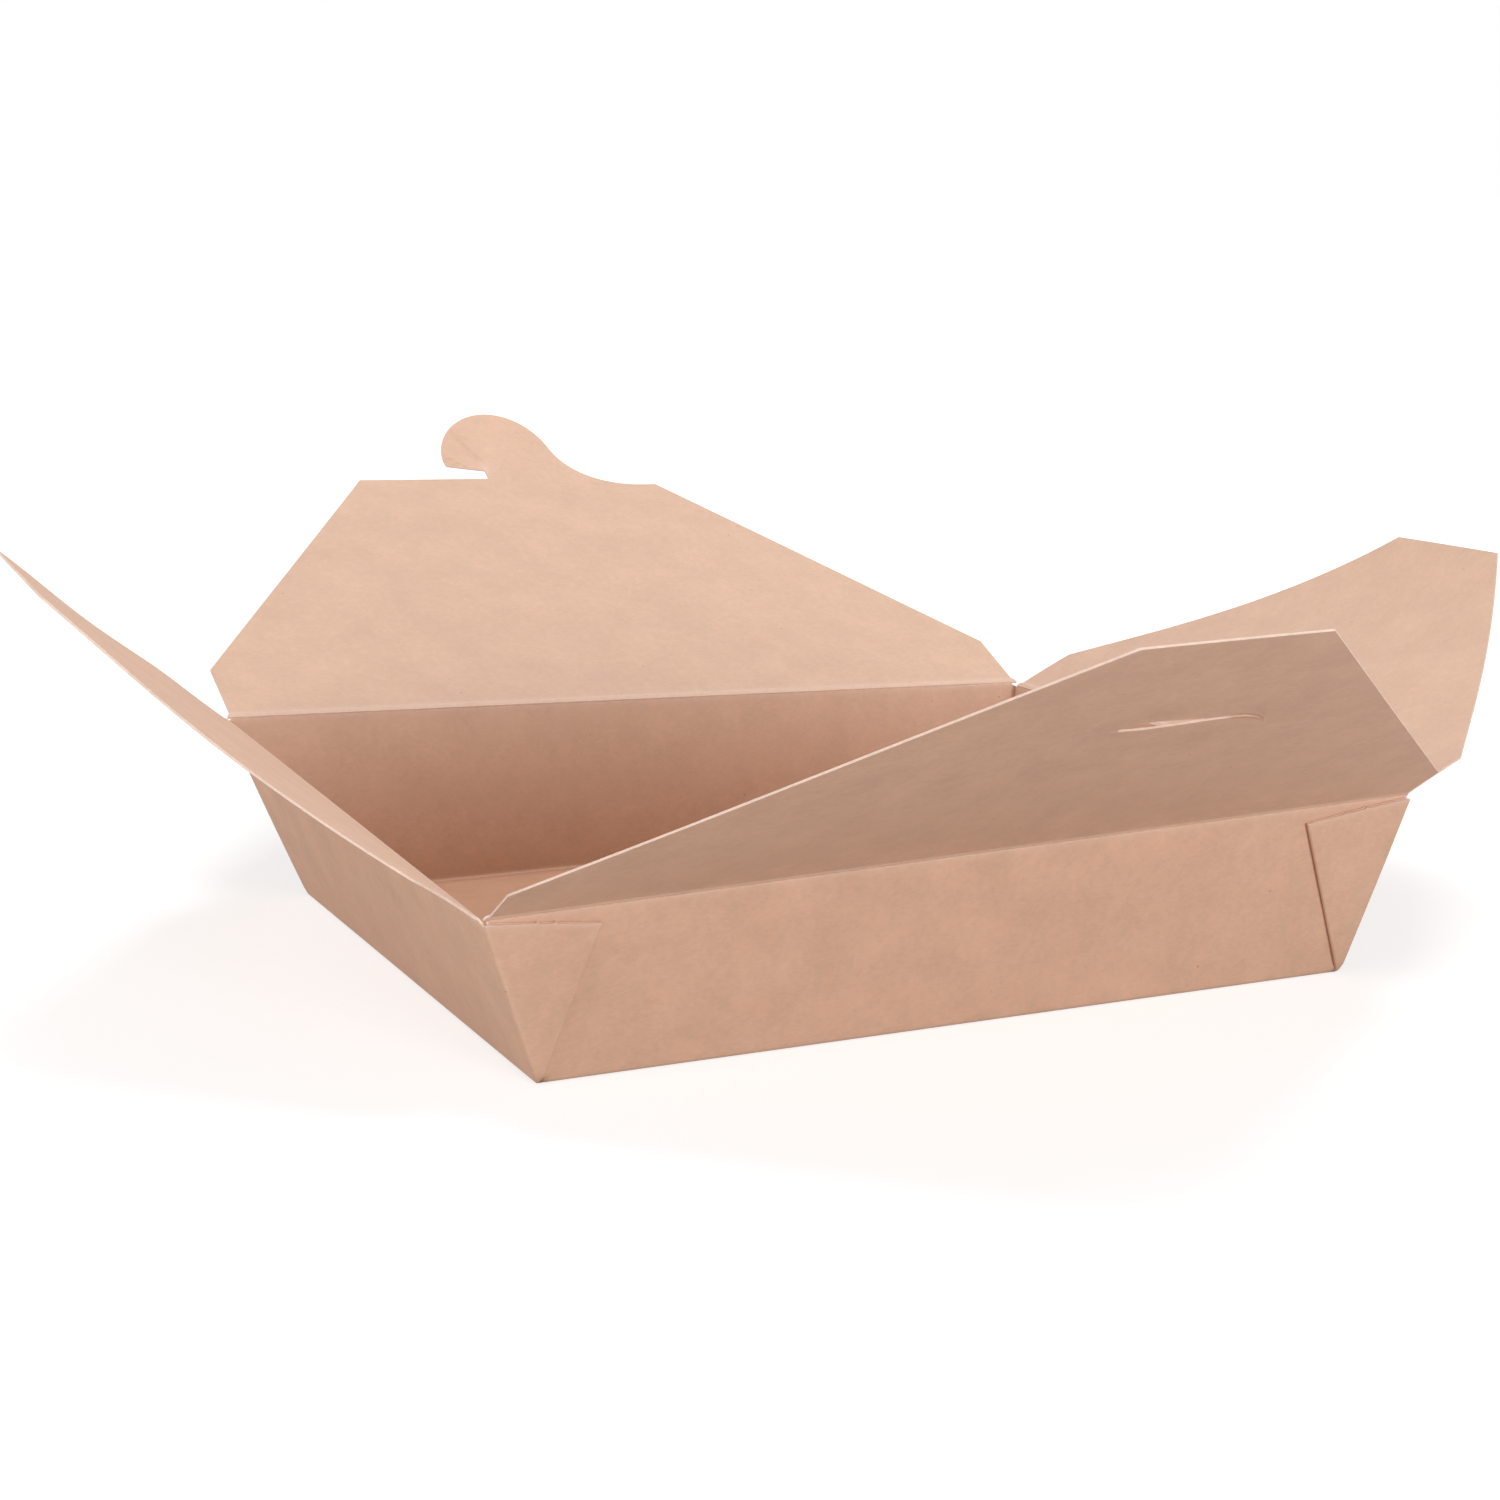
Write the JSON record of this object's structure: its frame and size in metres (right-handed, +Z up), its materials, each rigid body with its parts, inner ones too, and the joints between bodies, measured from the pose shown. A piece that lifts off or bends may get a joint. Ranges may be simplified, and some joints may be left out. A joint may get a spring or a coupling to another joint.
{
  "type": "takeaway box",
  "caption": "Shallow kraft-board takeaway box standing open: a tapered tray with folded corner ears, hinged side flaps, a slotted front flap and a hooked back flap.",
  "frame": {"origin": "middle of the base's underside, on the surface that the box stands on", "axes": "+Z up; +X to the box's right along its long side; +Y from the front flap with the slit to the back flap with the hook"},
  "size_m": [0.3645, 0.3635, 0.0993],
  "materials": {
    "kraft_board": "matte brown kraft board"
  },
  "bodies": {
    "tray": {"tray": "kraft_board"},
    "front_flap": {"front_flap": "kraft_board"},
    "back_flap": {"back_flap": "kraft_board"},
    "left_flap": {"left_flap": "kraft_board"},
    "right_flap": {"right_flap": "kraft_board"}
  },
  "joints": [
    {"name": "front_fold", "type": "hinge", "parent": "tray", "child": "front_flap", "pos_m": [-0.0023, -0.07775, 0.0396], "axis": [0.9996, -0.0049, 0.0265], "range_deg": [-141.3, 55]},
    {"name": "back_fold", "type": "hinge", "parent": "tray", "child": "back_flap", "pos_m": [-0.0041, 0.08105, 0.0396], "axis": [-0.9996, 0.0071, 0.0264], "range_deg": [-147.9, 38]},
    {"name": "left_fold", "type": "hinge", "parent": "tray", "child": "left_flap", "pos_m": [-0.11239, 0.00227, 0.03869], "axis": [0.0143, -0.9992, -0.0366], "range_deg": [-143.4, 55]},
    {"name": "right_fold", "type": "hinge", "parent": "tray", "child": "right_flap", "pos_m": [0.10613, 0.00096, 0.03865], "axis": [-0.0084, 0.9993, -0.0366], "range_deg": [-154.8, 45]}
  ]
}
